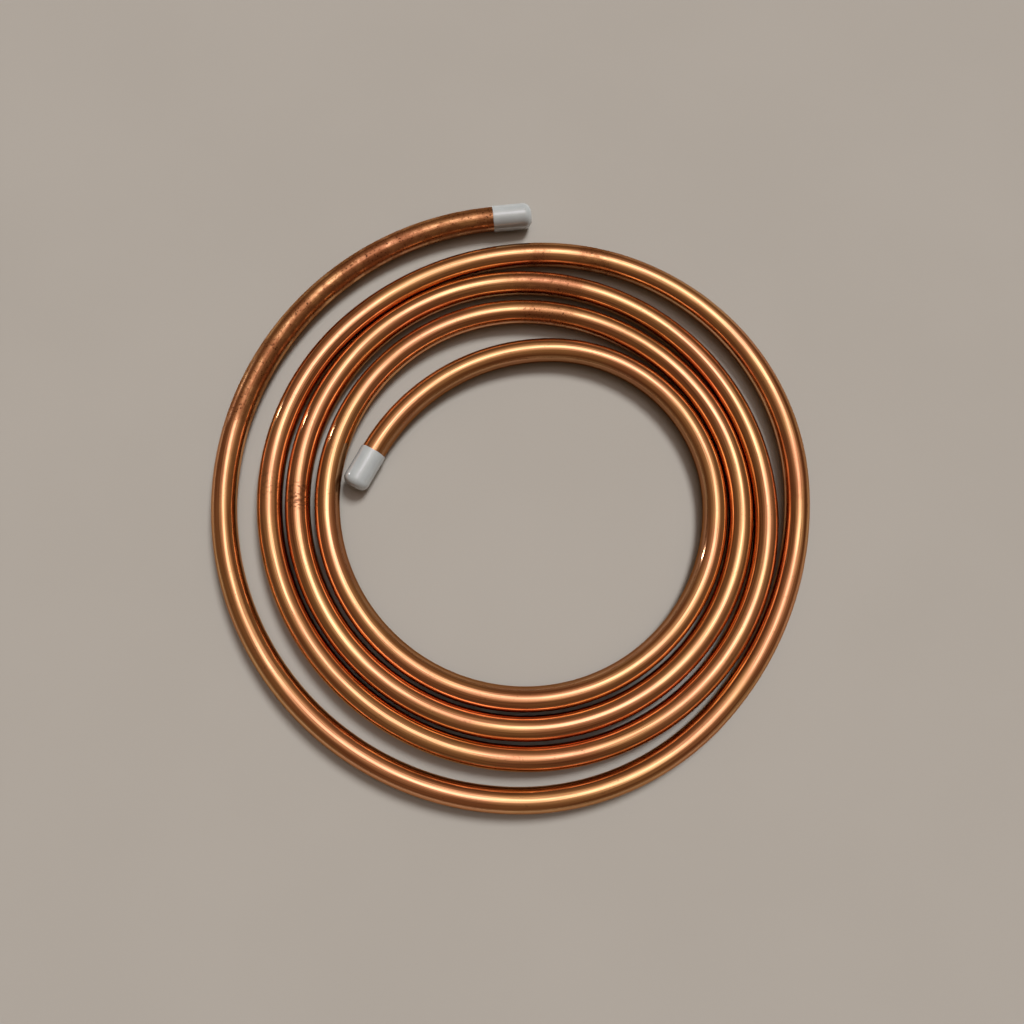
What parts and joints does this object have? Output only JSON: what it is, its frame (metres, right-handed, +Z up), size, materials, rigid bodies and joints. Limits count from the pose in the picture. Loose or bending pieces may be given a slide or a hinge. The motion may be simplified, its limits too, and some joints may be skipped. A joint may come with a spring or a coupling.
{
  "type": "copper tube coil",
  "caption": "Length of soft copper tube wound in a loose flat coil that lies on the floor, with a white push-on cap closing each end.",
  "frame": {"origin": "on the floor, under the middle of the coil's outline", "axes": "+Z up, square to the flat coil; +Y towards the side where the outer end lies; +X the way the outer end points"},
  "size_m": [0.2936, 0.305, 0.0131],
  "materials": {
    "copper": "bright drawn copper, satin, lightly tarnished",
    "white_vinyl": "soft glossy vinyl"
  },
  "bodies": {
    "root": {"copper_tube": "copper", "inner_end_cap": "white_vinyl", "outer_end_cap": "white_vinyl"}
  },
  "joints": []
}
